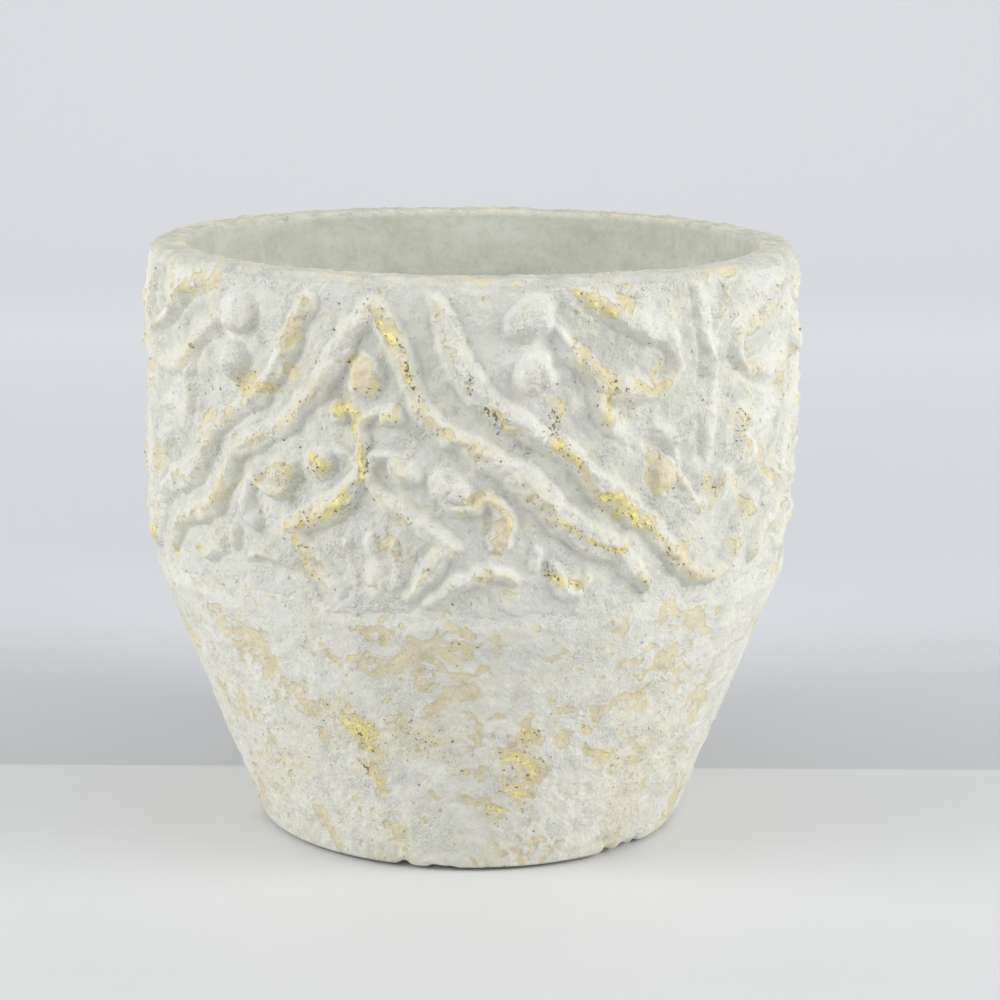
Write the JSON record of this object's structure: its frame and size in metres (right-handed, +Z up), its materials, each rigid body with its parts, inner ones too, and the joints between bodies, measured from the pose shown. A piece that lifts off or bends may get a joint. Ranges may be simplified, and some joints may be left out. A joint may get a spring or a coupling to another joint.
{
  "type": "ceramic cachepot",
  "caption": "Round cachepot with a cone foot, a straight upper band of raised damask scrolls, a flat rounded rim, an open inside with a sealing coat, and thin pads under the base.",
  "frame": {"origin": "centre of the base on the surface that the pads stand on", "axes": "+Z up along the pot's axis, -Y towards the pictured front, +X to the right of it"},
  "size_m": [0.2256, 0.2256, 0.2],
  "materials": {
    "cast_body": "cast stoneware or cement, chalky white lime coat worn through to a sand coat, flecks of gold",
    "relief_slip": "slip relief under the same worn white coat, gold rubbed on its ridges",
    "sealing_coat": "thin satin sealer on the inside, grey green",
    "foot_pad": "thin dark felt or foam pads"
  },
  "bodies": {
    "root": {"pot_body": "cast_body", "sealing_coat": "sealing_coat", "ogee_arch_1": "relief_slip", "ogee_arch_2": "relief_slip", "ogee_arch_3": "relief_slip", "ogee_valley_1": "relief_slip", "ogee_valley_2": "relief_slip", "ogee_valley_3": "relief_slip", "palmette_1": "relief_slip", "palmette_2": "relief_slip", "palmette_3": "relief_slip", "side_scrolls_1": "relief_slip", "side_scrolls_2": "relief_slip", "side_scrolls_3": "relief_slip", "crown_spray_1": "relief_slip", "crown_spray_2": "relief_slip", "crown_spray_3": "relief_slip", "foot_pad_1": "foot_pad", "foot_pad_2": "foot_pad", "foot_pad_3": "foot_pad", "foot_pad_4": "foot_pad"}
  },
  "joints": []
}
